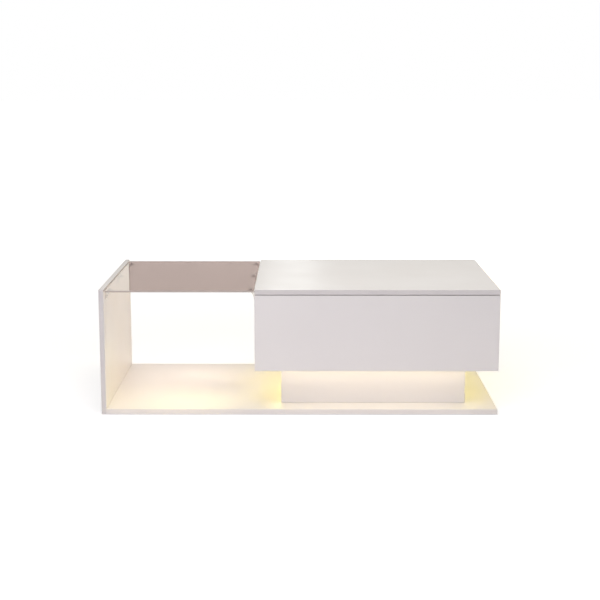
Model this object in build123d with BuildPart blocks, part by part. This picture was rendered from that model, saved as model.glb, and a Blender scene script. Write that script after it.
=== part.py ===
"""Lift top coffee table: an open bay under a glass top beside a storage box with a lifting lid.

Sizes are in millimetres. +X points to the storage box's end, +Y to the back and +Z up. The origin
is on the floor, under the middle of the table. The storage box stands on a set-back plinth, so it
seems to float over the long base board, and an LED strip round the plinth lights the gap.

The lid rides on two parallelogram lifts, one on each side of the box. A length named reach is
measured from a box side's inner face towards the middle of the box, so that one function places a
piece on the left or on the right side.
"""

import os
from math import cos, radians, sin

from build123d import *

# Overall size
length = 1200
depth = 600
height = 385

# Boards
board = 15
edge_chamfer = 0.6
glide_height = 2.5

# Storage box and its lid
box_width = 735
box_underside = 136.5
lid_thickness = 15
lid_gap = 2
lid_side_gap = 1

# Plinth under the storage box
plinth_left_inset = 79
plinth_right_inset = 90
plinth_front_inset = 80
plinth_rear_inset = 80

# Glass top
glass_thickness = 5
glass_drop = 4.5
glass_end_gap = 1.5
glass_lid_gap = 2
glass_inset = 10
glass_bevel = 0.8
glass_corner = 4

# Angle supports under the glass
support_inset = 50
support_width = 16
support_ledge = 22
support_leg = 24
support_sheet = 2
cheek_sheet = 1.5
cheek_reach = 11
cheek_drop = 19
support_bend = 2.5
support_corner = 3
support_screw_drop = 17
pad_radius = 5
pad_foot_radius = 3
pad_lip = 0.8
pad_thickness = 4
pad_reach = 13
button_shank_radius = 1.75
button_depth = 11
button_head_radius = 3.8
button_top_radius = 2.4
button_head_height = 2

# Flat-pack fittings
dowel_radius = 4
dowel_length = 30
dowel_in_face = 10
dowel_end_gap = 0.5
cam_radius = 7.5
cam_past_middle = 5
cam_distance = 34
cam_slot_length = 9
cam_slot_width = 2.4
cam_slot_depth = 1.6
cam_bolt_radius = 3
cam_bolt_anchor = 11
bolt_end_gap = 0.5
cam_bolt_head_radius = 3.5
cam_bolt_head_length = 4
cam_bolt_room = 0.3
panel_screw_radius = 2.5
panel_screw_length = 50
panel_head_radius = 5
panel_head_height = 3.5
wood_screw_radius = 2
wood_screw_length = 14
wood_head_radius = 4
wood_head_height = 2.2
cap_radius = 6.5
cap_height = 1.2
cap_bevel = 0.6
glide_radius = 10
glide_inset = 35
glide_columns = 3
corner_dowel_height = 45
corner_cam_drop = 65
end_dowel_inset = 45
end_cam_inset = 80
floor_dowel_inset = 80
row_screw_inset = 50

# Lift mechanism
arm_length = 250
arm_width = 22
arm_sheet = 3
arm_eye_radius = 13
arm_rib_width = 8
arm_rib_height = 1.2
arm_plate_gap = 0.8
arm_bracket_gap = 0.6
closed_angle = 10
lift_angle = 110
pivot_spacing = 60
pivot_lean = 150
main_pivot_from_front = 180
main_pivot_drop = 105
plate_sheet = 3
plate_margin = 16
stop_margin = 12
plate_front_reach = 83
plate_screw_steps = (80, 180)
lobe_screw_distance = 34
lobe_screw_angle = 94
pin_radius = 4
pin_running_gap = 0.05
open_pin_gap = 0.2
pin_head_radius = 7
pin_head_height = 2.5
pin_face_gap = 0.3
bracket_sheet = 2.5
bracket_flange = 20
bracket_web = 20
bracket_bend = 2
bracket_lobe = 38
bracket_front_overhang = 195
bracket_rear_overhang = 50
bracket_screw_inset = 20
stop_radius = 4
stop_along_arm = 60
stop_gap = 0.3
tube_radius = 8
tube_wall = 1.5
tube_along_arm = 90
bumper_radius = 4.5
bumper_seat_gap = 0.3
bumper_inset = 100
bumper_bevel = 0.6

# Assist spring of each lift
crank_radius = 35
crank_eye_radius = 8
crank_angle = 215
spring_length = 250
spring_arm_gap = 0.5
spring_radius = 7
spring_wire = 2
spring_neck = 13
stud_radius = 3
stud_head_gap = 1.5
stud_head_radius = 4.5
stud_head_height = 1.5
hook_seat_gap = 0.3
rail_height = 26

# LED strip and its supply
tape_width = 10
tape_thickness = 0.6
tape_to_plinth = 6
led_size = 5
led_height = 1.6
led_pitch = 33.3
controller_size = (62, 14, 34)
controller_round = 2
controller_from_right = 90
jack_from_controller = 60
jack_thread_radius = 4
jack_tail = 6
jack_flange_radius = 7
jack_flange_height = 2
jack_socket_radius = 2.75
jack_socket_depth = 10
jack_pin_radius = 1
jack_pin_recess = 1
jack_nut_radius = 6.5
jack_nut_height = 3

# Places worked out from the sizes above
left_x = -length / 2
right_x = length / 2
front_y = -depth / 2
rear_y = depth / 2
bay_left_x = left_x + board
base_top = glide_height + board
base_middle_z = glide_height + board / 2
box_left_x = right_x - box_width
cavity_left_x = box_left_x + board
cavity_right_x = right_x - board
cavity_front_y = front_y + board
cavity_rear_y = rear_y - board
box_top = height - lid_thickness - lid_gap
floor_top = box_underside + board
floor_middle_z = box_underside + board / 2
lid_left_x = box_left_x + lid_side_gap
lid_underside = height - lid_thickness
plinth_left_x = box_left_x + plinth_left_inset
plinth_right_x = right_x - plinth_right_inset
plinth_front_y = front_y + plinth_front_inset
plinth_rear_y = rear_y - plinth_rear_inset
cam_depth = board / 2 + cam_past_middle
glass_top_z = height - glass_drop
glass_underside = glass_top_z - glass_thickness
ledge_top = glass_underside - pad_thickness
support_rows = (front_y + support_inset, 0, rear_y - support_inset)


def moved(point, way, distance):
    return tuple(p + w * distance for p, w in zip(point, way))


def along(start, angle, distance):
    """In the side view, the point this far from start, at this angle above the way to the back."""
    return moved(start, (cos(radians(angle)), sin(radians(angle))), distance)


# Layers of the lift, as reaches from a box side's inner face
arm_reach = plate_sheet + arm_plate_gap
arm_inner_reach = arm_reach + arm_sheet
bracket_reach = arm_reach - arm_bracket_gap - bracket_sheet
bracket_flange_middle = bracket_reach + bracket_flange / 2
spring_reach = arm_inner_reach + arm_rib_height + spring_arm_gap + spring_radius
stud_end_reach = spring_reach + spring_wire / 2 + stud_head_gap

# Points of the lift in the side view, as (y, z), with the lid closed
open_angle = closed_angle + lift_angle
main_pivot = (front_y + main_pivot_from_front, lid_underside - main_pivot_drop)
follower_pivot = along(main_pivot, pivot_lean, pivot_spacing)
lid_main_pivot = along(main_pivot, closed_angle, arm_length)
lid_follower_pivot = along(follower_pivot, closed_angle, arm_length)
crank_stud = along(main_pivot, crank_angle, crank_radius)
spring_anchor = (crank_stud[0] + spring_length, crank_stud[1])
stop_touch = along(follower_pivot, open_angle, stop_along_arm)
stop_stud = along(stop_touch, open_angle + 90, arm_width / 2 + stop_radius + stop_gap)
tube_centre = along(main_pivot, closed_angle, tube_along_arm)

os.makedirs("parts", exist_ok=True)


def save(part, label):
    part.label = label
    export_step(part, f"parts/{label}.step")


def spread(low, high, count):
    """Evenly spaced places from low to high."""
    return [low + (high - low) * step / (count - 1) for step in range(count)]


def joined(groups):
    return [place for group in groups for place in group]


def made(make, places, *options):
    """One piece for each place."""
    return [make(*place, *options) for place in places]


def grouped(pieces):
    """Separate solids kept together as one group."""
    with BuildPart() as group:
        for piece in pieces:
            add(piece)
    return group.part


def make_board(low, high, drills=()):
    """A board between two corners, with the small bevel of its edge bands and its holes."""
    size = [top - bottom for bottom, top in zip(low, high)]
    middle = [(top + bottom) / 2 for bottom, top in zip(low, high)]
    with BuildPart() as panel:
        with Locations(tuple(middle)):
            Box(*size)
        chamfer(panel.edges(), edge_chamfer)
        for drill in drills:
            add(drill, mode=Mode.SUBTRACT)
    return panel.part


def axis_plane(origin, way):
    """A plane whose x direction is the axis of a turned piece."""
    across = (1, 0, 0) if abs(way[1]) > abs(way[0]) + abs(way[2]) else (0, 1, 0)
    return Plane(origin=origin, x_dir=way, z_dir=across)


def turned(origin, way, stations):
    """A turned piece: (distance along its axis, radius) stations spun round the axis."""
    plane = axis_plane(origin, way)
    with BuildPart() as piece:
        with BuildSketch(plane):
            with BuildLine():
                Polyline((stations[0][0], 0), *stations, (stations[-1][0], 0), close=True)
            make_face()
        revolve(axis=Axis(plane.origin, plane.x_dir))
    return piece.part


# ---------------------------------------------------------------- dowels, cams and screws
# A joint is (point, way): the point lies where a face board meets the edge of another board, and
# way points into the edge board. A cam joint also gives the side of that board the cam opens on.


def dowel(point, way, end_gap=0):
    start = -dowel_in_face - end_gap
    end = dowel_length - dowel_in_face + end_gap
    return turned(point, way, [(start, dowel_radius), (end, dowel_radius)])


def cam_bolt(point, way, _):
    neck = cam_distance - cam_bolt_head_length / 2
    stations = [
        (-cam_bolt_anchor, cam_bolt_radius),
        (neck, cam_bolt_radius),
        (neck, cam_bolt_head_radius),
        (neck + cam_bolt_head_length, cam_bolt_head_radius),
    ]
    return turned(point, way, stations)


def bolt_thread_hole(point, way, _):
    start = -cam_bolt_anchor - bolt_end_gap
    return turned(point, way, [(start, cam_bolt_radius), (0, cam_bolt_radius)])


def bolt_bore(point, way, _):
    """From the joint to the middle of the cam, wide enough for the bolt's head."""
    radius = cam_bolt_head_radius + cam_bolt_room
    reach = cam_distance + cam_bolt_head_length / 2 + cam_bolt_room
    return turned(point, way, [(0, radius), (reach, radius)])


def cam_mouth(point, way, out):
    return moved(moved(point, way, cam_distance), out, board / 2)


def cam_pocket(point, way, out):
    mouth = cam_mouth(point, way, out)
    return turned(mouth, out, [(-cam_depth, cam_radius), (cam_depth, cam_radius)])


def cam_lock(point, way, out):
    """The turning cam: a drum with a slot for the screwdriver and a bore for the bolt."""
    face = Plane(origin=cam_mouth(point, way, out), x_dir=way, z_dir=out)
    with BuildPart() as cam:
        with BuildSketch(face):
            Circle(cam_radius)
        extrude(amount=-cam_depth)
        with BuildSketch(face):
            Rectangle(cam_slot_length, cam_slot_width)
        extrude(amount=-cam_slot_depth, mode=Mode.SUBTRACT)
        add(bolt_bore(point, way, out), mode=Mode.SUBTRACT)
    return cam.part


def countersunk(head_at, way, head_radius, head_height, shank_radius, total):
    """A countersunk screw with its head flush at head_at, and also the hole that it fills."""
    stations = [(0, head_radius), (head_height, shank_radius), (total, shank_radius)]
    return turned(head_at, way, stations)


def panel_screw(head_at, way):
    sizes = (panel_head_radius, panel_head_height, panel_screw_radius, panel_screw_length)
    return countersunk(head_at, way, *sizes)


def wood_screw(head_at, way):
    sizes = (wood_head_radius, wood_head_height, wood_screw_radius, wood_screw_length)
    return countersunk(head_at, way, *sizes)


# Base board to left end panel
end_dowels = [
    ((bay_left_x, y, base_middle_z), (1, 0, 0))
    for y in (front_y + end_dowel_inset, rear_y - end_dowel_inset)
]
end_cams = [
    ((bay_left_x, y, base_middle_z), (1, 0, 0), (0, 0, -1))
    for y in (front_y + end_cam_inset, rear_y - end_cam_inset)
]

# Box front and rear panels to the ends of the box sides, keyed by (side, end)
inward = {"left": 1, "right": -1}
wall_middle = {"left": box_left_x + board / 2, "right": right_x - board / 2}
wall_joint = {"front": (cavity_front_y, (0, 1, 0)), "rear": (cavity_rear_y, (0, -1, 0))}
corner_dowels = {}
corner_cams = {}
for side, x in wall_middle.items():
    for end, (y, way) in wall_joint.items():
        corner_dowels[side, end] = [((x, y, floor_top + corner_dowel_height), way)]
        corner_cams[side, end] = [((x, y, box_top - corner_cam_drop), way, (inward[side], 0, 0))]

# Box floor to the four box walls
floor_dowels = {
    end: [
        ((x, y, floor_middle_z), way)
        for x in (cavity_left_x + floor_dowel_inset, cavity_right_x - floor_dowel_inset)
    ]
    for end, (y, way) in wall_joint.items()
}
for side, x in (("left", cavity_left_x), ("right", cavity_right_x)):
    floor_dowels[side] = [((x, 0, floor_middle_z), (inward[side], 0, 0))]

# Screws up through the base board and down through the box floor into the plinth's board edges
plinth_rows = (plinth_front_y + board / 2, plinth_rear_y - board / 2)
plinth_columns = (plinth_left_x + board / 2, plinth_right_x - board / 2)
row_screws = [
    (x, y)
    for y in plinth_rows
    for x in (plinth_left_x + row_screw_inset, plinth_right_x - row_screw_inset)
]
column_screws = [(x, 0) for x in plinth_columns]
base_screws = [((x, y, glide_height), (0, 0, 1)) for x, y in row_screws + column_screws]
floor_screws = [((x, y, floor_top), (0, 0, -1)) for x, y in row_screws]

all_dowels = end_dowels + joined(corner_dowels.values()) + joined(floor_dowels.values())
all_cams = end_cams + joined(corner_cams.values())
save(grouped(made(dowel, all_dowels)), "wooden_dowels")
save(grouped(made(cam_lock, all_cams)), "cam_locks")
save(grouped(made(cam_bolt, all_cams)), "cam_bolts")
save(grouped(made(panel_screw, base_screws)), "base_screws")
save(grouped(made(panel_screw, floor_screws)), "box_floor_screws")

with BuildPart() as screw_cover_caps:
    with BuildSketch(Plane.XY.offset(floor_top)):
        with Locations(*row_screws):
            Circle(cap_radius)
    extrude(amount=cap_height)
    chamfer(screw_cover_caps.edges().group_by(Axis.Z)[-1], cap_bevel)
save(screw_cover_caps.part, "screw_cover_caps")

# ---------------------------------------------------------------- supports under the glass
# Each support hangs on an upright face, and way points from that face into the bay.
support_faces = {"end": (bay_left_x, 1), "box": (box_left_x, -1)}


def glass_support(face_x, way, y):
    """An angle of bent sheet: a leg screwed to the board, a ledge under the glass and two cheeks."""
    profile = [
        (0, 0),
        (support_ledge, 0),
        (support_ledge, -support_sheet),
        (support_sheet, -support_sheet),
        (support_sheet, -support_leg),
        (0, -support_leg),
    ]
    cheek = [(support_sheet, -support_sheet), (cheek_reach, -support_sheet), (support_sheet, -cheek_drop)]
    middle = Plane(origin=(face_x, y, ledge_top), x_dir=(way, 0, 0), z_dir=(0, -way, 0))
    with BuildPart() as support:
        with BuildSketch(middle):
            with BuildLine():
                Polyline(*profile, close=True)
            make_face()
        extrude(amount=support_width / 2, both=True)
        ledge_end = support.faces().sort_by(Axis.X)[-1 if way > 0 else 0]
        fillet(ledge_end.edges().filter_by(Axis.Z), support_corner)
        leg_end = support.faces().sort_by(Axis.Z)[0]
        fillet(leg_end.edges().filter_by(Axis.X), support_corner)
        outer_bend = support.edges().filter_by(Axis.Y).group_by(Axis.Z)[-1]
        fillet(outer_bend.sort_by(Axis.X)[0 if way > 0 else -1], support_bend)
        for hand in (-1, 1):
            with BuildSketch(middle.offset(hand * support_width / 2)):
                with BuildLine():
                    Polyline(*cheek, close=True)
                make_face()
            extrude(amount=-hand * cheek_sheet)
        add(button_screw(face_x, way, y), mode=Mode.SUBTRACT)
    return support.part


def button_screw(face_x, way, y):
    """The button-head screw through a support's leg."""
    leg_face = (face_x + way * support_sheet, y, ledge_top - support_screw_drop)
    stations = [
        (-button_head_height, button_top_radius),
        (0, button_head_radius),
        (0, button_shank_radius),
        (support_sheet + button_depth, button_shank_radius),
    ]
    return turned(leg_face, (-way, 0, 0), stations)


def glass_pad(face_x, way, y):
    """A soft cup that widens from its foot on the ledge to its lip under the glass."""
    centre = (face_x + way * pad_reach, y, ledge_top)
    stations = [(0, pad_foot_radius), (pad_thickness - pad_lip, pad_radius), (pad_thickness, pad_radius)]
    return turned(centre, (0, 0, 1), stations)


support_places = {
    name: [(face_x, way, y) for y in support_rows]
    for name, (face_x, way) in support_faces.items()
}
for name, places in support_places.items():
    save(grouped(made(glass_support, places)), f"glass_supports_{name}")
save(grouped(made(button_screw, joined(support_places.values()))), "glass_support_screws")
save(grouped(made(glass_pad, joined(support_places.values()))), "glass_pads")

with BuildPart() as glass_top:
    glass_low = (bay_left_x + glass_end_gap, front_y + glass_inset)
    glass_high = (lid_left_x - glass_lid_gap, rear_y - glass_inset)
    with BuildSketch(Plane.XY.offset(glass_underside)):
        with Locations(((glass_low[0] + glass_high[0]) / 2, 0)):
            RectangleRounded(glass_high[0] - glass_low[0], glass_high[1] - glass_low[1], glass_corner)
    extrude(amount=glass_thickness)
    chamfer(glass_top.edges().group_by(Axis.Z)[0], glass_bevel)
    chamfer(glass_top.edges().group_by(Axis.Z)[-1], glass_bevel)
save(glass_top.part, "glass_top")

# ---------------------------------------------------------------- lift mechanism, both sides
rail_front_y = main_pivot[0] - plate_front_reach
rail_z = spring_anchor[1]
plate_screws = [
    (rail_front_y, rail_z),
    *[(main_pivot[0] + step, rail_z) for step in plate_screw_steps],
    along(follower_pivot, closed_angle + lobe_screw_angle, lobe_screw_distance),
]
bracket_front_y = lid_follower_pivot[0] - bracket_front_overhang
bracket_rear_y = lid_main_pivot[0] + bracket_rear_overhang
bracket_middle_y = (bracket_front_y + bracket_rear_y) / 2
bracket_screw_rows = spread(
    bracket_front_y + bracket_screw_inset, bracket_rear_y - bracket_screw_inset, 3
)


def reach_x(side, reach):
    """The x of a plane this far inside the box's left or right side."""
    wall = cavity_left_x if side == "left" else cavity_right_x
    return wall + inward[side] * reach


def side_plane(side, reach):
    return Plane.YZ.offset(reach_x(side, reach))


def side_pin(side, point, stations):
    """A turned piece across the mechanism, with its stations given as reaches."""
    return turned((reach_x(side, 0), *point), (inward[side], 0, 0), stations)


def plate_screw(side, point):
    return wood_screw((reach_x(side, plate_sheet), *point), (-inward[side], 0, 0))


def bracket_screw(side, y):
    head_at = (reach_x(side, bracket_flange_middle), y, lid_underside - bracket_sheet)
    return wood_screw(head_at, (0, 0, 1))


def pivot_pin(side, point, foot_start):
    """A riveted pivot: a shaft from its plate through the arm, and a flat head."""
    head_start = arm_inner_reach + pin_face_gap
    stations = [
        (foot_start, pin_radius),
        (head_start, pin_radius),
        (head_start, pin_head_radius),
        (head_start + pin_head_height, pin_head_radius),
    ]
    return side_pin(side, point, stations)


def hook_stud(side, point, foot_start):
    """The stud that a spring hook hangs on, with a head that keeps the hook from slipping off."""
    stations = [
        (foot_start, stud_radius),
        (stud_end_reach, stud_radius),
        (stud_end_reach, stud_head_radius),
        (stud_end_reach + stud_head_height, stud_head_radius),
    ]
    return side_pin(side, point, stations)


def lift_arm(side, pivot, lid_end_gap, with_crank):
    """A flat steel arm with round eyes, a pressed rib and, on the main arm, the spring's crank."""
    lid_end = along(pivot, closed_angle, arm_length)
    rib_start = tube_along_arm + 2 * tube_radius
    rib_length = arm_length - 2 * arm_eye_radius - rib_start
    with BuildPart() as arm:
        with BuildSketch(side_plane(side, arm_reach)):
            with Locations(along(pivot, closed_angle, arm_length / 2)):
                SlotCenterToCenter(arm_length, arm_width, rotation=closed_angle)
            with Locations(pivot, lid_end):
                Circle(arm_eye_radius)
            if with_crank:
                with Locations(along(pivot, crank_angle, crank_radius / 2)):
                    SlotCenterToCenter(crank_radius, 2 * crank_eye_radius, rotation=crank_angle)
                with Locations(crank_stud):
                    Circle(stud_radius, mode=Mode.SUBTRACT)
            with Locations(pivot):
                Circle(pin_radius + pin_running_gap, mode=Mode.SUBTRACT)
            with Locations(lid_end):
                Circle(pin_radius + lid_end_gap, mode=Mode.SUBTRACT)
        extrude(amount=inward[side] * arm_sheet)
        with BuildSketch(side_plane(side, arm_inner_reach)):
            with Locations(along(pivot, closed_angle, rib_start + rib_length / 2)):
                SlotCenterToCenter(rib_length, arm_rib_width, rotation=closed_angle)
        extrude(amount=inward[side] * arm_rib_height)
    return arm.part


def lift_plate(side):
    """The plate screwed to the box side: a lobe round the pivots and stop, and the spring's rail."""
    with BuildPart() as plate:
        with BuildSketch(side_plane(side, 0)):
            with Locations(main_pivot, follower_pivot):
                Circle(plate_margin)
            with Locations(stop_stud, (rail_front_y, rail_z)):
                Circle(stop_margin)
            make_hull()
            with Locations(((rail_front_y + spring_anchor[0]) / 2, rail_z)):
                SlotCenterToCenter(spring_anchor[0] - rail_front_y, rail_height)
            with Locations(main_pivot, follower_pivot):
                Circle(pin_radius, mode=Mode.SUBTRACT)
            with Locations(stop_stud):
                Circle(stop_radius, mode=Mode.SUBTRACT)
            with Locations(spring_anchor):
                Circle(stud_radius, mode=Mode.SUBTRACT)
        extrude(amount=inward[side] * plate_sheet)
        for point in plate_screws:
            add(plate_screw(side, point), mode=Mode.SUBTRACT)
    return plate.part


def lid_bracket(side):
    """The angle under the lid, with a lobe that hangs down to the two lid pivots."""
    bracket_length = bracket_rear_y - bracket_front_y
    web_z = lid_underside - bracket_web / 2
    lobe_ends = ((lid_follower_pivot[0] - bracket_lobe, web_z), (lid_main_pivot[0] + bracket_lobe, web_z))
    with BuildPart() as bracket:
        with BuildSketch(side_plane(side, bracket_reach)):
            with Locations(lid_main_pivot, lid_follower_pivot):
                Circle(arm_eye_radius)
            with Locations(*lobe_ends):
                Circle(bracket_web / 2)
            make_hull()
            with Locations((bracket_middle_y, web_z)):
                Rectangle(bracket_length, bracket_web)
            with Locations(lid_main_pivot, lid_follower_pivot):
                Circle(pin_radius, mode=Mode.SUBTRACT)
        extrude(amount=inward[side] * bracket_sheet)
        with BuildSketch(Plane.XY.offset(lid_underside)):
            with Locations((reach_x(side, bracket_flange_middle), bracket_middle_y)):
                Rectangle(bracket_flange, bracket_length)
        extrude(amount=-bracket_sheet)
        bend_line = bracket.edges().filter_by(Axis.Y).group_by(Axis.Z)[-1]
        fillet(bend_line.sort_by(Axis.X)[0 if side == "left" else -1], bracket_bend)
        for y in bracket_screw_rows:
            add(bracket_screw(side, y), mode=Mode.SUBTRACT)
    return bracket.part


def assist_spring(side):
    """The stretched spring as its outer shape: a round coil body and a flat hook at each end."""
    hook_inner = stud_radius + hook_seat_gap
    hook_outer = hook_inner + spring_wire
    stations = [(spring_neck, spring_radius), (spring_length - spring_neck, spring_radius)]
    with BuildPart() as spring:
        add(turned((reach_x(side, spring_reach), *crank_stud), (0, 1, 0), stations))
        with BuildSketch(side_plane(side, spring_reach)):
            with Locations(along(crank_stud, 0, spring_length / 2)):
                SlotCenterToCenter(spring_length, 2 * hook_outer)
                Rectangle(spring_length - 2 * spring_neck, 2 * hook_outer, mode=Mode.SUBTRACT)
            with Locations(crank_stud, spring_anchor):
                Circle(hook_inner, mode=Mode.SUBTRACT)
        extrude(amount=spring_wire / 2, both=True)
    return spring.part


for side in inward:
    save(lift_plate(side), f"lift_plate_{side}")
    save(lift_arm(side, main_pivot, pin_running_gap, True), f"main_arm_{side}")
    save(lift_arm(side, follower_pivot, open_pin_gap, False), f"follower_arm_{side}")
    save(lid_bracket(side), f"lid_bracket_{side}")
    save(assist_spring(side), f"assist_spring_{side}")

frame_pins = [(side, point, 0) for side in inward for point in (main_pivot, follower_pivot)]
lid_pins = [
    (side, point, bracket_reach) for side in inward for point in (lid_main_pivot, lid_follower_pivot)
]
stop_stations = [(0, stop_radius), (arm_inner_reach, stop_radius)]
stop_places = [(side, stop_stud, stop_stations) for side in inward]
plate_screw_places = [(side, point) for side in inward for point in plate_screws]
bracket_screw_places = [(side, y) for side in inward for y in bracket_screw_rows]
save(grouped(made(pivot_pin, frame_pins)), "frame_pivot_pins")
save(grouped(made(pivot_pin, lid_pins)), "lid_pivot_pins")
save(grouped(made(side_pin, stop_places)), "lift_stop_studs")
save(grouped(hook_stud(side, spring_anchor, 0) for side in inward), "spring_anchor_studs")
save(grouped(hook_stud(side, crank_stud, arm_reach) for side in inward), "spring_crank_studs")
save(grouped(made(plate_screw, plate_screw_places)), "lift_plate_screws")
save(grouped(made(bracket_screw, bracket_screw_places)), "lid_bracket_screws")

with BuildPart() as cross_tube:
    with BuildSketch(side_plane("left", arm_inner_reach)):
        with Locations(tube_centre):
            Circle(tube_radius)
            Circle(tube_radius - tube_wall, mode=Mode.SUBTRACT)
    extrude(amount=reach_x("right", arm_inner_reach) - reach_x("left", arm_inner_reach))
save(cross_tube.part, "cross_tube")

# ---------------------------------------------------------------- boards of the table
base_board = make_board(
    (bay_left_x, front_y, glide_height),
    (right_x, rear_y, base_top),
    made(dowel, end_dowels, dowel_end_gap)
    + made(bolt_bore, end_cams)
    + made(cam_pocket, end_cams)
    + made(panel_screw, base_screws),
)
save(base_board, "base_board")

left_end_panel = make_board(
    (left_x, front_y, glide_height),
    (bay_left_x, rear_y, height),
    made(dowel, end_dowels, dowel_end_gap)
    + made(bolt_thread_hole, end_cams)
    + made(button_screw, support_places["end"]),
)
save(left_end_panel, "left_end_panel")

with BuildPart() as floor_glides:
    with BuildSketch(Plane.XY):
        with Locations(((bay_left_x + right_x) / 2, 0)):
            column_step = (right_x - bay_left_x - 2 * glide_inset) / (glide_columns - 1)
            with GridLocations(column_step, depth - 2 * glide_inset, glide_columns, 2):
                Circle(glide_radius)
    extrude(amount=glide_height)
save(floor_glides.part, "floor_glides")

# Plinth: the front and rear boards lap the ends of the side boards
jack_x = plinth_right_x - controller_from_right - jack_from_controller
controller_z = (base_top + box_underside) / 2
jack_hole = turned(
    (jack_x, plinth_rear_y, controller_z),
    (0, 1, 0),
    [(-board, jack_thread_radius), (0, jack_thread_radius)],
)
plinth_drills = made(panel_screw, base_screws + floor_screws)
plinth_inner_front_y = plinth_front_y + board
plinth_inner_rear_y = plinth_rear_y - board
plinth_outlines = {
    "front": (plinth_left_x, plinth_right_x, plinth_front_y, plinth_inner_front_y),
    "rear": (plinth_left_x, plinth_right_x, plinth_inner_rear_y, plinth_rear_y),
    "left": (plinth_left_x, plinth_left_x + board, plinth_inner_front_y, plinth_inner_rear_y),
    "right": (plinth_right_x - board, plinth_right_x, plinth_inner_front_y, plinth_inner_rear_y),
}
for name, (low_x, high_x, low_y, high_y) in plinth_outlines.items():
    drills = plinth_drills + ([jack_hole] if name == "rear" else [])
    plinth_board = make_board((low_x, low_y, base_top), (high_x, high_y, box_underside), drills)
    save(plinth_board, f"plinth_{name}_board")

# Box: the front and rear panels lap the box sides, and the floor lies between all four
box_floor = make_board(
    (cavity_left_x, cavity_front_y, box_underside),
    (cavity_right_x, cavity_rear_y, floor_top),
    made(dowel, joined(floor_dowels.values()), dowel_end_gap)
    + made(panel_screw, floor_screws),
)
save(box_floor, "box_floor")

for end, (low_y, high_y) in {
    "front": (front_y, cavity_front_y),
    "rear": (cavity_rear_y, rear_y),
}.items():
    dowels = corner_dowels["left", end] + corner_dowels["right", end] + floor_dowels[end]
    cams = corner_cams["left", end] + corner_cams["right", end]
    wall = make_board(
        (box_left_x, low_y, box_underside),
        (right_x, high_y, box_top),
        made(dowel, dowels, dowel_end_gap) + made(bolt_thread_hole, cams),
    )
    save(wall, f"box_{end}_panel")

for side, low_x in {"left": box_left_x, "right": cavity_right_x}.items():
    dowels = corner_dowels[side, "front"] + corner_dowels[side, "rear"] + floor_dowels[side]
    cams = corner_cams[side, "front"] + corner_cams[side, "rear"]
    drills = made(dowel, dowels, dowel_end_gap) + made(bolt_bore, cams) + made(cam_pocket, cams)
    drills += [plate_screw(side, point) for point in plate_screws]
    if side == "left":
        drills += made(button_screw, support_places["box"])
    wall = make_board(
        (low_x, cavity_front_y, box_underside), (low_x + board, cavity_rear_y, box_top), drills
    )
    save(wall, f"box_{side}_panel")

lift_lid = make_board(
    (lid_left_x, front_y, lid_underside),
    (right_x, rear_y, height),
    made(bracket_screw, bracket_screw_places),
)
save(lift_lid, "lift_lid")

with BuildPart() as lid_bumpers:
    with BuildSketch(Plane.XY.offset(box_top)):
        with Locations(
            *[(x, y) for x in wall_middle.values() for y in (front_y + bumper_inset, rear_y - bumper_inset)]
        ):
            Circle(bumper_radius)
    extrude(amount=lid_gap - bumper_seat_gap)
    chamfer(lid_bumpers.edges().group_by(Axis.Z)[-1], bumper_bevel)
save(lid_bumpers.part, "lid_bumpers")

# ---------------------------------------------------------------- LED strip and its supply
strip_left_x = plinth_left_x - tape_to_plinth - tape_width / 2
strip_right_x = plinth_right_x + tape_to_plinth + tape_width / 2
strip_front_y = plinth_front_y - tape_to_plinth - tape_width / 2
strip_rear_y = plinth_rear_y + tape_to_plinth + tape_width / 2
strip_middle = ((strip_left_x + strip_right_x) / 2, (strip_front_y + strip_rear_y) / 2)
strip_length = strip_right_x - strip_left_x
strip_depth = strip_rear_y - strip_front_y

with BuildPart() as led_tape:
    with BuildSketch(Plane.XY.offset(box_underside)):
        with Locations(strip_middle):
            Rectangle(strip_length + tape_width, strip_depth + tape_width)
            Rectangle(strip_length - tape_width, strip_depth - tape_width, mode=Mode.SUBTRACT)
    extrude(amount=-tape_thickness)
save(led_tape.part, "led_tape")

led_columns = round(strip_length / led_pitch)
led_rows = round(strip_depth / led_pitch)
with BuildPart() as led_chips:
    with BuildSketch(Plane.XY.offset(box_underside - tape_thickness)):
        with Locations(strip_middle):
            with GridLocations(strip_length / led_columns, strip_depth, led_columns, 2):
                Rectangle(led_size, led_size)
            with GridLocations(strip_length, strip_depth / led_rows, 2, led_rows):
                Rectangle(led_size, led_size)
    extrude(amount=-led_height)
save(led_chips.part, "led_chips")

controller_x = plinth_right_x - controller_from_right
with BuildPart() as led_controller:
    with Locations((controller_x, plinth_inner_rear_y - controller_size[1] / 2, controller_z)):
        Box(*controller_size)
    away_from_board = led_controller.faces().sort_by(Axis.Y)[0]
    fillet(away_from_board.edges(), controller_round)
save(led_controller.part, "led_controller")

jack_stations = [
    (-board - jack_tail, jack_thread_radius),
    (0, jack_thread_radius),
    (0, jack_flange_radius),
    (jack_flange_height, jack_flange_radius),
]
jack_face = (jack_x, plinth_rear_y + jack_flange_height, controller_z)
with BuildPart() as power_jack:
    add(turned((jack_x, plinth_rear_y, controller_z), (0, 1, 0), jack_stations))
    socket_stations = [(0, jack_socket_radius), (jack_socket_depth, jack_socket_radius)]
    add(turned(jack_face, (0, -1, 0), socket_stations), mode=Mode.SUBTRACT)
    pin_stations = [(jack_pin_recess, jack_pin_radius), (jack_socket_depth, jack_pin_radius)]
    add(turned(jack_face, (0, -1, 0), pin_stations))
save(power_jack.part, "power_jack")

with BuildPart() as jack_nut:
    with BuildSketch(Plane(origin=(jack_x, plinth_inner_rear_y, controller_z), z_dir=(0, -1, 0))):
        RegularPolygon(jack_nut_radius, 6)
        Circle(jack_thread_radius, mode=Mode.SUBTRACT)
    extrude(amount=jack_nut_height)
save(jack_nut.part, "jack_nut")
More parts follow.
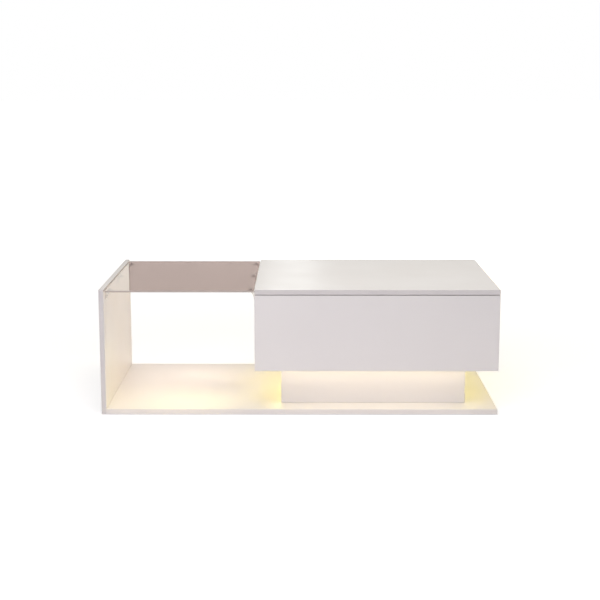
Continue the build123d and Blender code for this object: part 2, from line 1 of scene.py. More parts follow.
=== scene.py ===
"""The looks of the lift top coffee table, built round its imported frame.

Lengths are in metres, +X points to the storage box's end, +Y to the back and +Z up. The boards and metal
parts are the frame's own nodes with finished materials. The glass sheet with its polished edges, the assist
springs, the screws, the LED packages, the glides and the cup pads are modelled here in finer detail and
stand for the frame's plain ones. The floor, the two cards and the lamps are staging.
"""

from math import cos, pi, radians, sin

import bmesh
import bpy
from mathutils import Matrix, Vector


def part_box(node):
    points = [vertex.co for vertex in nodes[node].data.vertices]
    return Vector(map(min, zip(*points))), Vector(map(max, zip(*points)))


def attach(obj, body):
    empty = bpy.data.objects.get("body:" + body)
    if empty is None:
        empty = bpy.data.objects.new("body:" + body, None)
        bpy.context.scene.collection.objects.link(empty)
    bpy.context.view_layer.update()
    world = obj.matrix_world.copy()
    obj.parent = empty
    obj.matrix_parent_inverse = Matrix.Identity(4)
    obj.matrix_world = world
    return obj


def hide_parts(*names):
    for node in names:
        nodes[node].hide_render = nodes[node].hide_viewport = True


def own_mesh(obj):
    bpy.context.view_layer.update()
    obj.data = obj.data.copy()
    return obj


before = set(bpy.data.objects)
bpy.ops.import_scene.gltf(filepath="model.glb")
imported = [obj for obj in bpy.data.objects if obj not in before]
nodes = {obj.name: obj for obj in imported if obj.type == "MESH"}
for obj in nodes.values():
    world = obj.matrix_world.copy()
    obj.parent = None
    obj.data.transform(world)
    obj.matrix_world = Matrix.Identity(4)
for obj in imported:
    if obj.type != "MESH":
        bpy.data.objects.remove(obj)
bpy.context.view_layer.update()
MM = 0.001


# ---------------------------------------------------------------- shader helpers
class Paint:
    """A material with one Principled shader, and short ways to wire textures into it."""

    def __init__(self, name, **values):
        self.material = bpy.data.materials.new(name)
        self.material.use_nodes = True
        self.tree = self.material.node_tree
        self.shader = self.tree.nodes["Principled BSDF"]
        self.output = self.tree.nodes["Material Output"]
        self.place = self.node("ShaderNodeTexCoord").outputs["Object"]
        for socket, value in values.items():
            self.shader.inputs[socket.replace("_", " ")].default_value = value

    def node(self, kind, **settings):
        made = self.tree.nodes.new(kind)
        for key, value in settings.items():
            setattr(made, key, value)
        return made

    def link(self, source, target):
        self.tree.links.new(source, target)

    def stretched(self, stretch):
        mapping = self.node("ShaderNodeMapping")
        self.link(self.place, mapping.inputs["Vector"])
        mapping.inputs["Scale"].default_value = stretch
        return mapping.outputs["Vector"]

    def noise(self, scale, detail=2.0, stretch=(1, 1, 1), roughness=0.5):
        texture = self.node("ShaderNodeTexNoise")
        self.link(self.stretched(stretch), texture.inputs["Vector"])
        texture.inputs["Scale"].default_value = scale
        texture.inputs["Detail"].default_value = detail
        texture.inputs["Roughness"].default_value = roughness
        return texture.outputs["Fac"]

    def spread(self, value, low, high, low_from=0.35, high_from=0.65):
        """value, which runs from low_from to high_from, stretched to run from low to high."""
        ranged = self.node("ShaderNodeMapRange")
        self.link(value, ranged.inputs["Value"])
        limits = {"From Min": low_from, "From Max": high_from, "To Min": low, "To Max": high}
        for socket, number in limits.items():
            ranged.inputs[socket].default_value = number
        return ranged.outputs["Result"]

    def mixed(self, factor, first, second):
        """A mix of two colours, each a tuple or another node's output."""
        mix = self.node("ShaderNodeMix", data_type="RGBA")
        self.link(factor, mix.inputs["Factor"])
        for socket, colour in (("A", first), ("B", second)):
            target = [s for s in mix.inputs if s.name == socket and s.type == "RGBA"][0]
            if isinstance(colour, tuple):
                target.default_value = (*colour, 1)
            else:
                self.link(colour, target)
        return [s for s in mix.outputs if s.type == "RGBA"][0]

    def colour(self, source):
        self.link(source, self.shader.inputs["Base Color"])

    def rough(self, source):
        self.link(source, self.shader.inputs["Roughness"])

    def bump(self, height, distance, strength=1.0):
        bump = self.node("ShaderNodeBump")
        bump.inputs["Strength"].default_value = strength
        bump.inputs["Distance"].default_value = distance
        self.link(height, bump.inputs["Height"])
        self.link(bump.outputs["Normal"], self.shader.inputs["Normal"])


# ---------------------------------------------------------------- materials
LACQUER_WHITE = (0.815, 0.795, 0.78)
LACQUER_SHADE = (0.79, 0.768, 0.755)
# The edge bands are painted darker than the faces: painted shade on the boards' edges.
SHADED_BAND_WHITE = (0.70, 0.675, 0.665)
SHADED_BAND_DARK = (0.665, 0.64, 0.635)
# The base's edge bands are painted lighter than the other boards' bands: painted light from the floor below
# them.
LIT_BASE_BAND_WHITE = (0.83, 0.795, 0.765)
LIT_BASE_BAND_DARK = (0.80, 0.765, 0.735)
GLASS_TINT = (0.62, 0.5, 0.45)
GLASS_SHADOW_TINT = (0.93, 0.917, 0.9)


def white_lacquer(name, thickness_axis, painted_band_white, painted_band_dark):
    """Lacquered board: smooth faces across its thickness, and edge bands round them in a painted tone:
    painted shade darker than the faces, or painted light on the base's edges.
    """
    paint = Paint(name, Roughness=0.4, Coat_Weight=0.12, Coat_Roughness=0.22)
    cloud = paint.spread(paint.noise(1.7, 3), 0, 1)
    face = paint.mixed(cloud, LACQUER_WHITE, LACQUER_SHADE)
    streak = paint.spread(paint.noise(9, 4, roughness=0.6), 0, 1)
    # The band's tone is painted: painted shade on most boards, painted light on the base.
    band = paint.mixed(streak, painted_band_white, painted_band_dark)
    axes = paint.node("ShaderNodeSeparateXYZ")
    paint.link(paint.node("ShaderNodeTexCoord").outputs["Normal"], axes.inputs["Vector"])
    across = paint.node("ShaderNodeMath", operation="ABSOLUTE")
    paint.link(axes.outputs[thickness_axis], across.inputs[0])
    on_face = paint.spread(across.outputs["Value"], 0, 1, 0.55, 0.85)
    paint.colour(paint.mixed(on_face, band, face))
    paint.rough(paint.spread(paint.noise(6, 4), 0.36, 0.46))
    orange_peel = paint.noise(420, 2)
    paint.bump(orange_peel, 0.00004, 0.5)
    return paint.material


def smoked_glass():
    """Light bronze-grey glass. Shadow rays pass it almost clear, so lamp light reaches what lies below."""
    paint = Paint("smoked_glass", Roughness=0.015, IOR=1.5, Transmission_Weight=1.0)
    paint.shader.inputs["Base Color"].default_value = (*GLASS_TINT, 1)
    clear = paint.node("ShaderNodeBsdfTransparent")
    clear.inputs["Color"].default_value = (*GLASS_SHADOW_TINT, 1)
    mix = paint.node("ShaderNodeMixShader")
    paint.link(paint.node("ShaderNodeLightPath").outputs["Is Shadow Ray"], mix.inputs["Fac"])
    paint.link(paint.shader.outputs["BSDF"], mix.inputs[1])
    paint.link(clear.outputs["BSDF"], mix.inputs[2])
    paint.link(mix.outputs["Shader"], paint.output.inputs["Surface"])
    return paint.material


def plated(name, bright, dark, rough_low, rough_high, grain=900, stretch=(1, 1, 1), depth=0.00002):
    """Plated metal with a little cloudiness and a fine grain."""
    paint = Paint(name, Metallic=1.0)
    paint.colour(paint.mixed(paint.spread(paint.noise(90, 4), 0, 1), bright, dark))
    paint.rough(paint.spread(paint.noise(160, 3), rough_low, rough_high))
    paint.bump(paint.noise(grain, 3, stretch), depth, 0.5)
    return paint.material


def powder_coat():
    """Black powder coat: a fine pebbled skin."""
    paint = Paint("black_steel", Specular_IOR_Level=0.45)
    cloud = paint.spread(paint.noise(35, 4), 0, 1)
    paint.colour(paint.mixed(cloud, (0.022, 0.022, 0.024), (0.034, 0.034, 0.036)))
    paint.rough(paint.spread(paint.noise(50, 3), 0.42, 0.56))
    paint.bump(paint.noise(1100, 2, roughness=0.6), 0.00008, 0.6)
    return paint.material


def moulded(name, light, dark, rough_low, rough_high, grain=1500):
    """Moulded plastic with a fine spark-eroded grain."""
    paint = Paint(name)
    paint.colour(paint.mixed(paint.spread(paint.noise(60, 3), 0, 1), light, dark))
    paint.rough(paint.spread(paint.noise(120, 3), rough_low, rough_high))
    paint.bump(paint.noise(grain, 2), 0.00003, 0.5)
    return paint.material


def smoky_pad():
    """Soft, dark and glossy rubber."""
    paint = Paint("clear_pad", Transmission_Weight=0.1, IOR=1.42)
    cloud = paint.spread(paint.noise(300, 2), 0, 1)
    paint.colour(paint.mixed(cloud, (0.07, 0.064, 0.06), (0.048, 0.044, 0.042)))
    paint.rough(paint.spread(paint.noise(400, 2), 0.12, 0.22))
    return paint.material


def beech():
    """Raw beech with its short dark flecks along the dowel."""
    paint = Paint("beech")
    grain = paint.spread(paint.noise(500, 5, (1, 0.12, 1)), 0, 1)
    paint.colour(paint.mixed(grain, (0.60, 0.42, 0.25), (0.42, 0.26, 0.14)))
    paint.rough(paint.spread(paint.noise(300, 3), 0.55, 0.75))
    paint.bump(grain, 0.00005, 0.5)
    return paint.material


def glowing(name, colour, glow, strength):
    """A lit phosphor, or the strip round it, whose glow from the LED light spread through it is painted on as
    emission.
    """
    paint = Paint(name, Roughness=0.35, Emission_Strength=strength)
    paint.shader.inputs["Emission Color"].default_value = (*glow, 1)
    paint.colour(paint.mixed(paint.spread(paint.noise(700, 2), 0, 1), colour, tuple(0.9 * c for c in colour)))
    paint.rough(paint.spread(paint.noise(500, 2), 0.3, 0.45))
    return paint.material


LED_GLOW = (1.0, 0.832, 0.216)
LED_STRENGTH = 628.0
# The front run is far dimmer: its light falls off softly down the plinth.
LED_FRONT_STRENGTH = 21.0
# The strip itself is no lamp: its faint emission is a painted glow.
LED_TAPE_PAINTED_GLOW = 0.5
LED_PHOSPHOR = (1.0, 0.83, 0.42)

BOARDS = {
    "white_lacquer_x": (
        "left_end_panel box_left_panel box_right_panel plinth_left_board plinth_right_board",
        ("X", SHADED_BAND_WHITE, SHADED_BAND_DARK),
    ),
    "white_lacquer_y": (
        "box_front_panel box_rear_panel plinth_front_board plinth_rear_board",
        ("Y", SHADED_BAND_WHITE, SHADED_BAND_DARK),
    ),
    "white_lacquer_z": ("box_floor lift_lid", ("Z", SHADED_BAND_WHITE, SHADED_BAND_DARK)),
    "white_lacquer_base": ("base_board", ("Z", LIT_BASE_BAND_WHITE, LIT_BASE_BAND_DARK)),
}
for lacquer_name, (names, look) in BOARDS.items():
    lacquer = white_lacquer(lacquer_name, *look)
    for name in names.split():
        nodes[name].data.materials.clear()
        nodes[name].data.materials.append(lacquer)

nickel = plated("nickel", (0.74, 0.71, 0.67), (0.62, 0.6, 0.56), 0.16, 0.3)
zinc = plated("zinc", (0.66, 0.67, 0.68), (0.54, 0.55, 0.57), 0.26, 0.44)
spring_steel = plated("spring_steel", (0.42, 0.42, 0.43), (0.3, 0.3, 0.31), 0.22, 0.4)
black_steel = powder_coat()
black_plastic = moulded("black_plastic", (0.03, 0.03, 0.031), (0.02, 0.02, 0.021), 0.42, 0.6)
white_plastic = moulded("white_plastic", (0.8, 0.795, 0.77), (0.76, 0.755, 0.73), 0.3, 0.45)
phosphor = glowing("led_phosphor", LED_PHOSPHOR, LED_GLOW, LED_STRENGTH)
front_phosphor = glowing("led_phosphor_front", LED_PHOSPHOR, LED_GLOW, LED_FRONT_STRENGTH)
glow_painted_tape = glowing("led_tape_painted_glow", (0.85, 0.83, 0.76), LED_GLOW, LED_TAPE_PAINTED_GLOW)
clear_pad = smoky_pad()

FINISHES = {
    "glass_top": smoked_glass(),
    "glass_supports_end": nickel,
    "glass_supports_box": nickel,
    "glass_support_screws": nickel,
    "glass_pads": clear_pad,
    "floor_glides": black_plastic,
    "lid_bumpers": black_plastic,
    "power_jack": black_plastic,
    "wooden_dowels": beech(),
    "screw_cover_caps": white_plastic,
    "led_controller": white_plastic,
    "led_tape": glow_painted_tape,
    "led_chips": phosphor,
    "assist_spring_left": spring_steel,
    "assist_spring_right": spring_steel,
}
for name in """cam_locks cam_bolts base_screws box_floor_screws lift_plate_screws lid_bracket_screws
        frame_pivot_pins lid_pivot_pins lift_stop_studs spring_anchor_studs spring_crank_studs
        jack_nut""".split():
    FINISHES[name] = zinc
for name in """lift_plate_left lift_plate_right main_arm_left main_arm_right follower_arm_left
        follower_arm_right lid_bracket_left lid_bracket_right cross_tube""".split():
    FINISHES[name] = black_steel
for name, finish in FINISHES.items():
    nodes[name].data.materials.clear()
    nodes[name].data.materials.append(finish)


# ---------------------------------------------------------------- mesh helpers
def piece_from(name, mesh_maker, finishes):
    """A new object whose mesh mesh_maker(bm) fills in."""
    mesh = bpy.data.meshes.new(name)
    bm = bmesh.new()
    mesh_maker(bm)
    bm.to_mesh(mesh)
    bm.free()
    for finish in finishes:
        mesh.materials.append(finish)
    piece = bpy.data.objects.new(name, mesh)
    bpy.context.scene.collection.objects.link(piece)
    return piece


def stand_for(piece, body, slot, *replaced):
    """Makes the piece ride on the body and hide the nodes that it replaces. The slot is not used."""
    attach(piece, body)
    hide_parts(*replaced)


def tube_along(bm, points, radius, sides=10):
    """A closed round wire along the points, with its section kept from twisting."""
    tangents = []
    for index, point in enumerate(points):
        before = points[max(index - 1, 0)]
        after = points[min(index + 1, len(points) - 1)]
        tangents.append((after - before).normalized())
    normal = tangents[0].orthogonal().normalized()
    rings = []
    for point, tangent in zip(points, tangents):
        normal = (normal - tangent * normal.dot(tangent)).normalized()
        side = tangent.cross(normal)
        rings.append([
            bm.verts.new(point + radius * (cos(turn) * normal + sin(turn) * side))
            for turn in (2 * pi * step / sides for step in range(sides))
        ])
    for first, second in zip(rings, rings[1:]):
        for step in range(sides):
            following = (step + 1) % sides
            bm.faces.new((first[step], first[following], second[following], second[step])).smooth = True
    bm.faces.new(list(reversed(rings[0])))
    bm.faces.new(rings[-1])


# ---------------------------------------------------------------- glass
# A face whose normal has less than this along Z belongs to the sheet's edge.
EDGE_NORMAL = 0.9
FRONT_EDGE_SLOT = 1
END_EDGE_SLOT = 2


def polished_edge(name, light, dark):
    """The glass's ground edge, which scatters light and doesn't let anything be seen through it."""
    paint = Paint(name, IOR=1.5)
    paint.colour(paint.mixed(paint.spread(paint.noise(40, 3), 0, 1), light, dark))
    paint.rough(paint.spread(paint.noise(200, 3), 0.24, 0.28))
    paint.bump(paint.noise(350, 2, (1, 1, 4)), 0.00001, 0.3)
    return paint.material


glass = nodes["glass_top"].copy()
glass.data = nodes["glass_top"].data.copy()
glass.name = glass.data.name = "glass_sheet"
bpy.context.scene.collection.objects.link(glass)
glass.data.materials.append(polished_edge("glass_edge", (0.49, 0.43, 0.4), (0.455, 0.4, 0.37)))
# The end edges are painted light: a pale cream far lighter than the front edges, so the shade in the gap
# beside the end panel doesn't show.
glass.data.materials.append(polished_edge("glass_end_edge_painted_light", (0.92, 0.86, 0.8), (0.87, 0.81, 0.75)))
for face in glass.data.polygons:
    if abs(face.normal.z) < EDGE_NORMAL:
        along_depth = abs(face.normal.y) > abs(face.normal.x)
        face.material_index = FRONT_EDGE_SLOT if along_depth else END_EDGE_SLOT
stand_for(glass, "frame", "smoked_glass", "glass_top")

# ---------------------------------------------------------------- assist springs
WIRE_RADIUS = 1.0 * MM
COIL_RADIUS = 6.0 * MM
HOOK_RADIUS = 4.3 * MM
# How far the hook's ring is stretched along the spring, because the squash shortens it as well.
HOOK_SHIFT = 0.9 * MM
# From the crank stud's middle to the inner side of the hook that rests on it when the lid is up.
NECK = 13 * MM
TURNS = 62
STEPS_PER_TURN = 18
HOOK_STEPS = 22
HOOK_OPENING = radians(50)
# The turns over which the wire grows out from the spring's axis to the coil.
GROWTH_TURNS = 0.6


def smooth_step(share):
    share = min(max(share, 0.0), 1.0)
    return share * share * (3 - 2 * share)


def spring_path(start, end):
    """An extension spring's wire, from a hook round start, through the coil, to a hook round end."""
    length = end.y - start.y

    def hook(centre, way):
        """The hook's open ring, a little longer than wide, which ends on the spring's axis."""
        middle = centre + Vector((0, way * HOOK_SHIFT, 0))
        return [
            middle + Vector((0, way * (HOOK_RADIUS + HOOK_SHIFT) * cos(turn), HOOK_RADIUS * sin(turn)))
            for turn in (
                HOOK_OPENING + (2 * pi - HOOK_OPENING) * step / HOOK_STEPS
                for step in range(HOOK_STEPS + 1)
            )
        ]

    coil = []
    steps = TURNS * STEPS_PER_TURN
    for step in range(steps + 1):
        turn = step / STEPS_PER_TURN
        radius = COIL_RADIUS * smooth_step(min(turn, TURNS - turn) / GROWTH_TURNS)
        along = NECK + (length - 2 * NECK) * step / steps
        angle = 2 * pi * turn
        coil.append(start + Vector((radius * cos(angle), along, radius * sin(angle))))
    return hook(start, 1) + coil + list(reversed(hook(end, -1)))


for side in ("left", "right"):
    low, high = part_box(f"assist_spring_{side}")
    middle_x = (low.x + high.x) / 2
    middle_z = (low.z + high.z) / 2
    hook_reach = HOOK_RADIUS + WIRE_RADIUS
    start = Vector((middle_x, low.y + hook_reach, middle_z))
    end = Vector((middle_x, high.y - hook_reach, middle_z))
    spring = piece_from(
        f"spring_coil_{side}",
        lambda bm: tube_along(bm, spring_path(start, end), WIRE_RADIUS),
        [spring_steel],
    )
    stand_for(spring, "frame", "spring_steel", f"assist_spring_{side}")
    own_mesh(spring)


# ---------------------------------------------------------------- screws with their drives
def shells_of(node):
    """Each separate shell of a node's mesh, as a list of its corners' places."""
    bm = bmesh.new()
    bm.from_mesh(node.data)
    bmesh.ops.remove_doubles(bm, verts=bm.verts, dist=0.001 * MM)
    left = set(bm.verts)
    shells = []
    while left:
        shell = {left.pop()}
        border = list(shell)
        while border:
            vertex = border.pop()
            for other in (edge.other_vert(vertex) for edge in vertex.link_edges):
                if other not in shell:
                    shell.add(other)
                    border.append(other)
        left -= shell
        shells.append([vertex.co.copy() for vertex in shell])
    bm.free()
    return sorted(shells, key=lambda shell: tuple(round(v, 5) for v in box_of(shell)[0]))


def box_of(points):
    low = Vector([min(point[axis] for point in points) for axis in range(3)])
    high = Vector([max(point[axis] for point in points) for axis in range(3)])
    return low, high


def head_of(shell):
    """The middle of a screw's head and the way it faces."""
    low, high = box_of(shell)
    size = high - low
    axis = max(range(3), key=lambda index: size[index])
    middle = (low + high) / 2
    ends = {}
    for way, face in ((-1, low[axis]), (1, high[axis])):
        near = [point for point in shell if abs(point[axis] - face) < size[axis] / 4]
        ends[way] = max(
            sum((point[other] - middle[other]) ** 2 for other in range(3) if other != axis) for point in near
        )
    way = max(ends, key=ends.get)
    out = Vector([way if index == axis else 0 for index in range(3)])
    middle[axis] = high[axis] if way > 0 else low[axis]
    return middle, out


def cross_outline(reach, half_width):
    """A plus sign's twelve corners."""
    quarter = [(half_width, half_width), (half_width, reach), (-half_width, reach)]
    turns = [(1, 0), (0, 1), (-1, 0), (0, -1)]
    return [(x * c - y * s, x * s + y * c) for c, s in turns for x, y in quarter]


def hex_outline(reach, _):
    return [(reach * cos(turn), reach * sin(turn)) for turn in (2 * pi * step / 6 for step in range(6))]


def prism_into(bm, centre, out, outline, reach, bottom_reach, half_width, depth):
    """A closed drive bit that stands a little out of a head and narrows to its depth."""
    across = out.orthogonal().normalized()
    up = out.cross(across)
    rings = []
    for along, size in ((BIT_PROUD, reach), (-depth, bottom_reach)):
        rings.append([
            bm.verts.new(centre + out * along + across * x + up * y) for x, y in outline(size, half_width)
        ])
    top, bottom = rings
    for index in range(len(top)):
        following = (index + 1) % len(top)
        bm.faces.new((top[following], top[index], bottom[index], bottom[following]))
    bm.faces.new(top)
    bm.faces.new(list(reversed(bottom)))


BIT_PROUD = 0.2 * MM
CROSS = (cross_outline, 2.3 * MM, 0.9 * MM, 0.42 * MM, 1.7 * MM)
SMALL_CROSS = (cross_outline, 1.9 * MM, 0.7 * MM, 0.36 * MM, 1.3 * MM)
HEX_SOCKET = (hex_outline, 1.25 * MM, 1.25 * MM, 0, 1.4 * MM)


def driven_screws(name, node_name, body, slot, bit):
    """The node's screws with a drive recess cut into each head."""
    node = nodes[node_name]

    def fill(bm):
        for shell in shells_of(node):
            prism_into(bm, *head_of(shell), *bit)

    cutter = piece_from("drive_bits", fill, [])
    piece = bpy.data.objects.new(name, node.data.copy())
    bpy.context.scene.collection.objects.link(piece)
    cut = piece.modifiers.new("cut", "BOOLEAN")
    cut.operation = "DIFFERENCE"
    cut.solver = "EXACT"
    cut.object = cutter
    bpy.context.view_layer.update()
    piece.data = bpy.data.meshes.new_from_object(piece.evaluated_get(bpy.context.evaluated_depsgraph_get()))
    piece.modifiers.clear()
    bpy.data.objects.remove(cutter)
    stand_for(piece, body, slot, node_name)


driven_screws("plate_screws_cross", "lift_plate_screws", "frame", "zinc", SMALL_CROSS)
driven_screws("bracket_screws_cross", "lid_bracket_screws", "lid", "zinc", SMALL_CROSS)
driven_screws("plinth_screws_cross", "base_screws", "frame", "zinc", CROSS)
driven_screws("support_screws_hex", "glass_support_screws", "frame", "nickel", HEX_SOCKET)


# ---------------------------------------------------------------- LED packages
PACKAGE_POINTS = 16
PACKAGE_DRAFT = 0.97
WINDOW_RADIUS = 1.9 * MM
WINDOW_FLOOR_RADIUS = 1.6 * MM
WINDOW_DEPTH = 0.3 * MM
CUT_CORNER = 0.8
LEAD = (0.5 * MM, 0.8 * MM, 0.25 * MM)
LEAD_STEP = 1.6 * MM
# Packages whose front side lies within this of the foremost one's belong to the front run.
FRONT_RUN_DEPTH = 1 * MM
WINDOW_SLOT = 0
BODY_SLOT = 1
LEAD_SLOT = 2
FRONT_WINDOW_SLOT = 3


def box_into(bm, centre, size, slot):
    """A small box with its corners at centre give or take half of size."""
    made = bmesh.ops.create_cube(bm, size=1, matrix=Matrix.Translation(centre) @ Matrix.Diagonal((*size, 1)))
    for face in {face for vertex in made["verts"] for face in vertex.link_faces}:
        face.material_index = slot


def led_package(bm, low, high, window):
    """A white frame with a cut corner, a round window of phosphor on its underside, and six leads."""
    centre = (low + high) / 2
    half = (high.x - low.x) / 2

    def square(step):
        turn = 2 * pi * step / PACKAGE_POINTS
        x, y = cos(turn), sin(turn)
        stretch = half / max(abs(x), abs(y))
        if step == PACKAGE_POINTS // 8:
            stretch *= CUT_CORNER
        return Vector((x * stretch, y * stretch, 0))

    def ring(place, z):
        return [bm.verts.new(Vector((centre.x, centre.y, z)) + place(step)) for step in range(PACKAGE_POINTS)]

    def circle(radius):
        return lambda step: radius * Vector((
            cos(2 * pi * step / PACKAGE_POINTS), sin(2 * pi * step / PACKAGE_POINTS), 0
        ))

    rings = [
        ring(square, high.z),
        ring(lambda step: square(step) * PACKAGE_DRAFT, low.z),
        ring(circle(WINDOW_RADIUS), low.z),
        ring(circle(WINDOW_FLOOR_RADIUS), low.z + WINDOW_DEPTH),
    ]
    for upper, lower in zip(rings, rings[1:]):
        for step in range(PACKAGE_POINTS):
            following = (step + 1) % PACKAGE_POINTS
            side_face = bm.faces.new((upper[step], lower[step], lower[following], upper[following]))
            side_face.material_index = BODY_SLOT
    bm.faces.new(rings[0]).material_index = BODY_SLOT
    bm.faces.new(list(reversed(rings[-1]))).material_index = window
    for side in (-1, 1):
        for step in (-1, 0, 1):
            place = Vector((centre.x + side * half, centre.y + step * LEAD_STEP, high.z - LEAD[2] / 2))
            box_into(bm, place, LEAD, LEAD_SLOT)


def led_packages(bm):
    boxes = [box_of(shell) for shell in shells_of(nodes["led_chips"])]
    front_run = min(low.y for low, _ in boxes) + FRONT_RUN_DEPTH
    for low, high in boxes:
        led_package(bm, low, high, FRONT_WINDOW_SLOT if low.y < front_run else WINDOW_SLOT)


packages = piece_from("led_packages", led_packages, [phosphor, white_plastic, nickel, front_phosphor])
stand_for(packages, "frame", "led_phosphor", "led_chips")

# ---------------------------------------------------------------- turned pieces: glides and cup pads
TURNED_SIDES = 40
# Each station is a radius and a height in mm, from the middle of the top, round the outside, to the bottom.
GLIDE_STATIONS = [
    (10.0, 2.5), (10.0, 1.2), (9.4, 0.5), (8.2, 0.1), (7.2, 0.0), (5.0, 0.0), (4.4, 0.3), (4.2, 1.1),
    (3.0, 1.1), (2.6, 0.75), (1.6, 0.6),
]
NAIL_STATION = 8
PAD_STATIONS = [
    (0.7, 2.75), (2.0, 3.0), (3.3, 3.7), (3.8, 3.97), (4.8, 3.97), (5.0, 3.8), (5.0, 3.5), (4.6, 3.2),
    (3.4, 2.5), (2.3, 1.6), (2.1, 1.1), (2.3, 0.8), (2.9, 0.5), (3.0, 0.3), (3.0, 0.0),
]


def turned(node_name, stations, nail_station):
    """A maker of one turned solid at each of the node's shells. A second finish starts at nail_station."""

    def ring(bm, centre, radius, z):
        turns = (2 * pi * step / TURNED_SIDES for step in range(TURNED_SIDES))
        return [
            bm.verts.new((centre.x + radius * cos(turn), centre.y + radius * sin(turn), z)) for turn in turns
        ]

    def fill(bm):
        for shell in shells_of(nodes[node_name]):
            low, high = box_of(shell)
            rings = [ring(bm, (low + high) / 2, radius * MM, low.z + z * MM) for radius, z in stations]
            for number, (upper, lower) in enumerate(zip(rings, rings[1:])):
                for step in range(TURNED_SIDES):
                    following = (step + 1) % TURNED_SIDES
                    face = bm.faces.new((upper[step], lower[step], lower[following], upper[following]))
                    face.smooth = True
                    face.material_index = int(number >= nail_station)
            bm.faces.new(rings[0])
            bm.faces.new(list(reversed(rings[-1]))).material_index = int(nail_station < len(stations))

    return fill


glide_mesh = turned("floor_glides", GLIDE_STATIONS, NAIL_STATION)
glides = piece_from("nailed_glides", glide_mesh, [black_plastic, zinc])
stand_for(glides, "frame", "black_plastic", "floor_glides")
pad_mesh = turned("glass_pads", PAD_STATIONS, len(PAD_STATIONS))
pads = piece_from("cup_pads", pad_mesh, [clear_pad])
stand_for(pads, "frame", "clear_pad", "glass_pads")

# ---------------------------------------------------------------- floor, camera and lights
FLOOR_SIZE = 60
# How far the floor is lifted to white near the table and away from it, and the two distances for that.
FLOOR_LIFT = (0.5, 0.92)
FLOOR_LIFT_FROM = (1.0, 3.5)


def floor_face(bm):
    half = FLOOR_SIZE / 2
    corners = ((-half, -half), (half, -half), (half, half), (-half, half))
    bm.faces.new([bm.verts.new((x, y, 0)) for x, y in corners])


def shown_ray(tree):
    """1 for the rays that show the background: the camera's, and those off metal and through glass."""
    path = tree.nodes.new("ShaderNodeLightPath")
    value = path.outputs["Is Camera Ray"]
    for name in ("Is Glossy Ray", "Is Transmission Ray"):
        either = tree.nodes.new("ShaderNodeMath")
        either.operation = "MAXIMUM"
        tree.links.new(value, either.inputs[0])
        tree.links.new(path.outputs[name], either.inputs[1])
        value = either.outputs["Value"]
    return value


def floor_material():
    """Pale floor: lifted to white for the rays that show the background, with the shadow kept."""
    paint = Paint("floor_white", Roughness=0.8, Specular_IOR_Level=0.2)
    paint.colour(paint.mixed(paint.spread(paint.noise(2, 3), 0, 1), (0.8, 0.8, 0.8), (0.79, 0.79, 0.79)))
    paint.shader.inputs["Emission Color"].default_value = (1, 1, 1, 1)
    distance = paint.node("ShaderNodeVectorMath", operation="LENGTH")
    paint.link(paint.place, distance.inputs[0])
    lift = paint.node("ShaderNodeMath", operation="MULTIPLY")
    paint.link(shown_ray(paint.tree), lift.inputs[0])
    paint.link(paint.spread(distance.outputs["Value"], *FLOOR_LIFT, *FLOOR_LIFT_FROM), lift.inputs[1])
    paint.link(lift.outputs["Value"], paint.shader.inputs["Emission Strength"])
    return paint.material


floor = piece_from("floor", floor_face, [floor_material()])

# A taupe and a pale card behind the table that only glossy rays see, so the glass mirrors them.
# Each has its colour, its left edge and its right edge.
CARD_Y = 2.5
CARD_BOTTOM = 0.6
CARD_TOP = 1.0
CARDS = {
    "card_taupe": ((0.215, 0.18, 0.178), -0.89, -0.2),
    "card_pale": ((1.11, 1.12, 1.03), -2.4, -0.89),
}


def card_material(name, colour):
    paint = Paint(name, Roughness=1.0, Emission_Strength=1.0)
    paint.colour(paint.mixed(paint.noise(3, 2), (0, 0, 0), (0.01, 0.01, 0.01)))
    paint.shader.inputs["Emission Color"].default_value = (*colour, 1)
    return paint.material


def card_face(left, right):
    def fill(bm):
        corners = ((left, CARD_BOTTOM), (right, CARD_BOTTOM), (right, CARD_TOP), (left, CARD_TOP))
        bm.faces.new([bm.verts.new((x, CARD_Y, z)) for x, z in corners])

    return fill


for name, (colour, left, right) in CARDS.items():
    card = piece_from(name, card_face(left, right), [card_material(name, colour)])
    for kind in ("camera", "diffuse", "transmission", "shadow", "volume_scatter"):
        setattr(card, f"visible_{kind}", False)

CAMERA_PLACE = (0.0122, -4.0885, 1.0562)
# Degrees by which the camera looks down and to the left.
CAMERA_DOWN = 10.494
CAMERA_LEFT = 0.158

camera_data = bpy.data.cameras.new("camera")
camera_data.sensor_width = 36
camera_data.lens = 77.5
camera_data.clip_end = 100
camera = bpy.data.objects.new("camera", camera_data)
camera.location = CAMERA_PLACE
camera.rotation_euler = (radians(90 - CAMERA_DOWN), 0, radians(CAMERA_LEFT))
bpy.context.scene.collection.objects.link(camera)
bpy.context.scene.camera = camera


def softbox(name, place, aim, size, power, colour):
    """A rectangular area lamp that the camera doesn't see."""
    light = bpy.data.lights.new(name, "AREA")
    light.shape = "RECTANGLE"
    light.size, light.size_y = size
    light.energy = power
    light.color = colour
    lamp = bpy.data.objects.new(name, light)
    lamp.location = place
    lamp.rotation_euler = (Vector(aim) - Vector(place)).to_track_quat("-Z", "Y").to_euler()
    bpy.context.scene.collection.objects.link(lamp)
    lamp.visible_camera = False
    return lamp


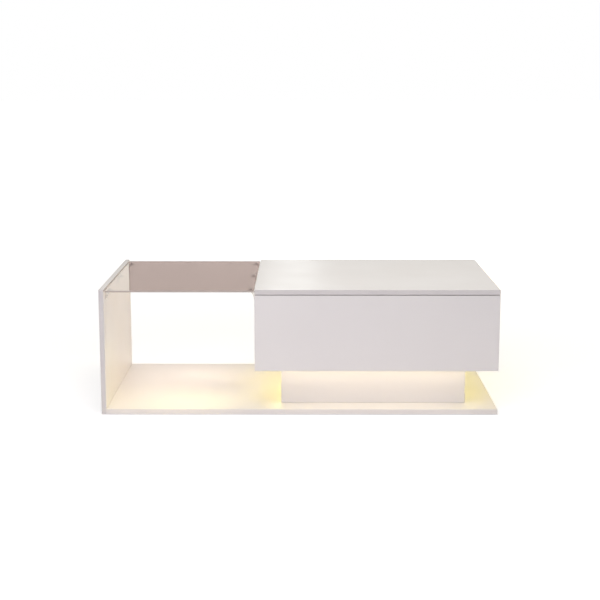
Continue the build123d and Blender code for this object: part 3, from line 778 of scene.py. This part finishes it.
softbox("top_light", (0.1, -0.3, 2.8), (0, 0, 0.3), (2.4, 2.2), 35.7, (1.0, 0.92, 0.78))
softbox("front_top_light", (-0.3, -2.2, 2.6), (-0.1, -0.1, 0.1), (2.0, 1.2), 26.5, (0.86, 0.9, 1.0))
softbox("front_left_light", (-1.6, -3.0, 1.2), (-0.3, 0, 0.1), (1.6, 1.2), 14, (1.0, 0.89, 1.0))
softbox("front_light", (0.6, -3.6, 1.2), (0.1, 0, 0.2), (2.2, 1.4), 8.3, (0.95, 0.86, 1.0))
softbox("low_front_light", (0, -1.0, 0.03), (0, -0.3, 0.03), (2.0, 0.04), 0.75, (1.0, 0.87, 0.86))
softbox("warm_light", (1.35, 2.4, 0.26), (-0.5, 0, 0.2), (0.9, 0.24), 5.2, (1.0, 0.63, 0.13))
softbox("rear_fill", (0.2, 3.0, 0.22), (0, 0, 0.2), (2.4, 0.3), 2.0, (1.0, 1.0, 1.0))
softbox("right_fill", (3.0, 0.8, 0.24), (0.6, 0, 0.24), (1.4, 0.3), 2.0, (1.0, 0.95, 0.86))
softbox("rim_light", (-0.06, 3.2, 1.1), (0, 0, 0.385), (0.28, 0.5), 0.95, (0.96, 1.0, 1.0))
softbox("gap_light", (0.227, -0.262, 0.133), (0.227, -0.262, 0), (0.6, 0.02), 0.18, (1.0, 0.86, 0.62))

# Two narrow lamps stand in for light under the glass that the render loses, and keep off the box's side.
BAY_SPREAD = radians(80)
BAY_LAMP_SIZE = (0.06, 0.16)
BAY_LAMPS = {
    "bay_front_light": ((-0.19, -0.2, 0.35), (-0.4, -0.24, 0.015), 0.24, (1.0, 0.87, 0.4)),
    "bay_rear_light": ((-0.19, 0.12, 0.35), (-0.42, 0.14, 0.015), 0.135, (1.0, 0.86, 0.65)),
}
for name, (place, aim, power, colour) in BAY_LAMPS.items():
    bay_lamp = softbox(name, place, aim, BAY_LAMP_SIZE, power, colour)
    bay_lamp.data.spread = BAY_SPREAD
    bay_lamp.visible_glossy = False
    bay_lamp.visible_transmission = False

# The large lamps don't show in the glass or the gloss, where their corners would draw hard patches.
for name in ("top_light", "front_top_light", "front_left_light", "front_light"):
    bpy.data.objects[name].visible_glossy = False
# The low lamp doesn't show through the glass from behind.
bpy.data.objects["low_front_light"].visible_transmission = False

AMBIENT = 0.2

world = bpy.data.worlds.new("studio")
world.use_nodes = True
tree = world.node_tree
ambient = tree.nodes["Background"]
ambient.inputs["Color"].default_value = (1, 1, 1, 1)
ambient.inputs["Strength"].default_value = AMBIENT
backdrop = tree.nodes.new("ShaderNodeBackground")
backdrop.inputs["Color"].default_value = (1, 1, 1, 1)
backdrop.inputs["Strength"].default_value = 1.0
chosen = tree.nodes.new("ShaderNodeMixShader")
tree.links.new(shown_ray(tree), chosen.inputs["Fac"])
tree.links.new(ambient.outputs["Background"], chosen.inputs[1])
tree.links.new(backdrop.outputs["Background"], chosen.inputs[2])
tree.links.new(chosen.outputs["Shader"], tree.nodes["World Output"].inputs["Surface"])
bpy.context.scene.world = world
bpy.context.scene.view_settings.view_transform = "Standard"
